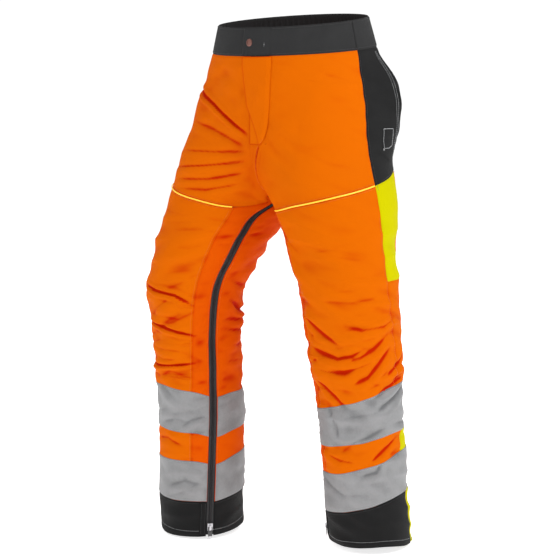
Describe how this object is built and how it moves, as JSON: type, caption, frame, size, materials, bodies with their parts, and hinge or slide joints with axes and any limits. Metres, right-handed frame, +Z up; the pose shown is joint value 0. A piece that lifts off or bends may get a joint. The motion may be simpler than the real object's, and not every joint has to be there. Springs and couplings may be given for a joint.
{
  "type": "chainsaw chaps",
  "caption": "High-visibility protective over-trousers with zipped inner legs, a covered snap fly, elastic back waistband, hip pockets, reflective bands and a cut-protection inlay.",
  "frame": {"origin": "centre of the waist opening, at the mean height of the waistband top edge", "axes": "+Z up, the wearer faces -Y, the wearer's left is +X"},
  "size_m": [0.5466, 0.3431, 1.0818],
  "materials": {
    "orange_cloth": "woven polyester, high-visibility orange",
    "yellow_cloth": "woven polyester, high-visibility yellow",
    "charcoal_cloth": "stretch woven cloth, charcoal",
    "waistband_cloth": "woven cloth with elastic, charcoal",
    "charcoal_cuff": "abrasion-resistant woven cloth, black",
    "reflective_band": "glass-bead retroreflective tape, silver",
    "piping": "covered cord, golden yellow",
    "patch_stitch": "reinforcing patch with light grey stitches",
    "cut_inlay": "loose knitted cut-protection fibre layers",
    "lining_mesh": "warp-knit spacer mesh",
    "zip_tape": "woven tape, black",
    "zip_chain": "moulded polyester coil",
    "zip_metal": "die-cast zinc, dull nickel",
    "zip_pull": "moulded pull, black",
    "snap_brass": "stamped brass, coppery"
  },
  "bodies": {
    "garment": {"left_front_upper": "orange_cloth", "right_front_upper": "orange_cloth", "left_hip_panel": "charcoal_cloth", "right_hip_panel": "charcoal_cloth", "left_seat_panel": "charcoal_cloth", "right_seat_panel": "charcoal_cloth", "left_thigh_piping": "piping", "right_thigh_piping": "piping", "left_front_leg": "orange_cloth", "right_front_leg": "orange_cloth", "left_inner_front": "orange_cloth", "right_inner_front": "orange_cloth", "left_inner_back": "orange_cloth", "right_inner_back": "orange_cloth", "left_back_leg": "orange_cloth", "right_back_leg": "orange_cloth", "left_side_upper": "yellow_cloth", "right_side_upper": "yellow_cloth", "left_side_mid": "orange_cloth", "right_side_mid": "orange_cloth", "left_side_lower": "yellow_cloth", "right_side_lower": "yellow_cloth", "left_band_upper": "reflective_band", "right_band_upper": "reflective_band", "left_band_lower": "reflective_band", "right_band_lower": "reflective_band", "left_cuff_front": "charcoal_cuff", "right_cuff_front": "charcoal_cuff", "left_cuff_back": "charcoal_cuff", "right_cuff_back": "charcoal_cuff", "left_cut_pad": "cut_inlay", "right_cut_pad": "cut_inlay", "left_lining": "lining_mesh", "right_lining": "lining_mesh", "left_zip_tape": "zip_tape", "right_zip_tape": "zip_tape", "left_zip_coil": "zip_chain", "right_zip_coil": "zip_chain", "zip_stops": "zip_metal", "zip_guards": "charcoal_cuff", "knee_tucks": "orange_cloth", "pocket_bags": "charcoal_cloth", "pocket_patches": "patch_stitch", "waistband_front_left": "waistband_cloth", "waistband_front_right": "waistband_cloth", "waistband_back": "waistband_cloth", "belt_loops": "waistband_cloth", "fly_shield": "orange_cloth", "fly_zip": "zip_chain", "snap_stud": "snap_brass"},
    "left_slider": {"left_zip_slider": "zip_metal"},
    "left_pull": {"left_zip_pull": "zip_pull"},
    "right_slider": {"right_zip_slider": "zip_metal"},
    "right_pull": {"right_zip_pull": "zip_pull"},
    "fly_cover": {"fly_flap": "orange_cloth", "fly_tab": "waistband_cloth", "snap_cap": "snap_brass"},
    "fly_runner": {"fly_slider": "zip_metal"},
    "fly_runner_pull": {"fly_pull": "zip_metal"}
  },
  "joints": [
    {"name": "left_leg_zip", "type": "slide", "parent": "garment", "child": "left_slider", "axis": [0.0232, -0.1521, 0.9881], "range_m": [0, 0.18]},
    {"name": "left_pull_swing", "type": "hinge", "parent": "left_slider", "child": "left_pull", "pos_m": [0.08944, 0.00321, -1.03145], "axis": [-0.5746, 0.8068, 0.1377], "range_deg": [-4, 150]},
    {"name": "right_leg_zip", "type": "slide", "parent": "garment", "child": "right_slider", "axis": [0.0404, 0.0109, 0.9991], "range_m": [0, 0.18]},
    {"name": "right_pull_swing", "type": "hinge", "parent": "right_slider", "child": "right_pull", "pos_m": [-0.10422, -0.14067, -1.04119], "axis": [-0.5648, -0.8246, 0.0319], "range_deg": [-0.5, 150]},
    {"name": "fly_cover_hinge", "type": "hinge", "parent": "garment", "child": "fly_cover", "pos_m": [0.0446, -0.1298, -0.0731], "axis": [0, 0.0438, 0.999], "range_deg": [0, 150]},
    {"name": "fly_zip", "type": "slide", "parent": "garment", "child": "fly_runner", "axis": [0, -0.0058, -1], "range_m": [0, 0.115]},
    {"name": "fly_pull_swing", "type": "hinge", "parent": "fly_runner", "child": "fly_runner_pull", "pos_m": [0.014, -0.12904, -0.09506], "axis": [-1, 0, 0], "range_deg": [0, 6]}
  ]
}
